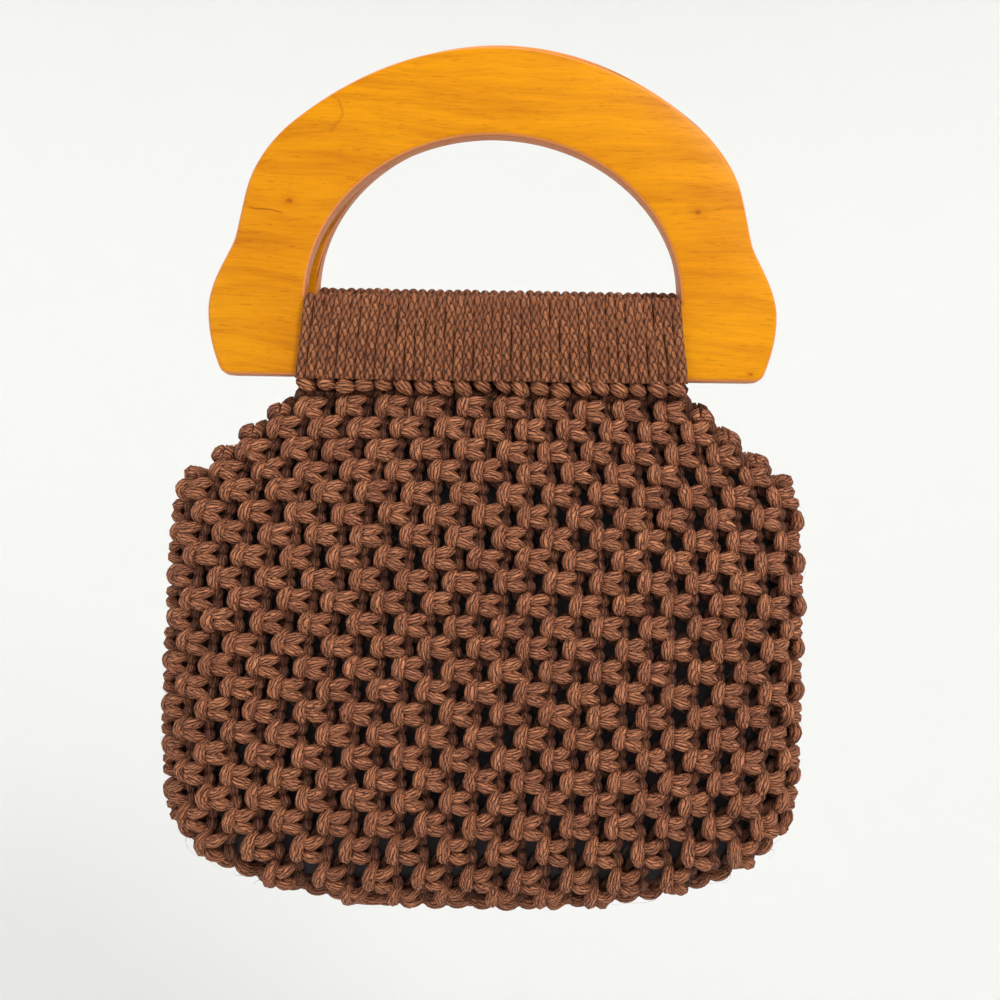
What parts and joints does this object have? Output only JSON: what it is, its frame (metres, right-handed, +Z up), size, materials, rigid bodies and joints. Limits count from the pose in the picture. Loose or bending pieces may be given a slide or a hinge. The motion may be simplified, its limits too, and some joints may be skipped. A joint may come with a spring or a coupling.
{
  "type": "knotted cord handbag",
  "caption": "Hanging handbag: two D-shaped plywood handles, cords wrapped over their lower bars, and a pouch of knotted brown cord.",
  "frame": {"origin": "under the crown of the front handle's hand opening, midway in depth between the feet of the two handles", "axes": "+X to the right of a viewer who faces the front, +Y from the front to the back, +Z up as the bag hangs"},
  "size_m": [0.317, 0.062, 0.4287],
  "materials": {
    "handle_wood": "clear gloss varnish over golden plywood",
    "brown_cord": "twisted matt brown cord"
  },
  "bodies": {
    "root": {"handle_front": "handle_wood", "handle_back": "handle_wood", "cord_sleeve_front": "brown_cord", "cord_sleeve_back": "brown_cord", "hitch_row_front": "brown_cord", "hitch_row_back": "brown_cord", "knotted_net": "brown_cord"}
  },
  "joints": []
}
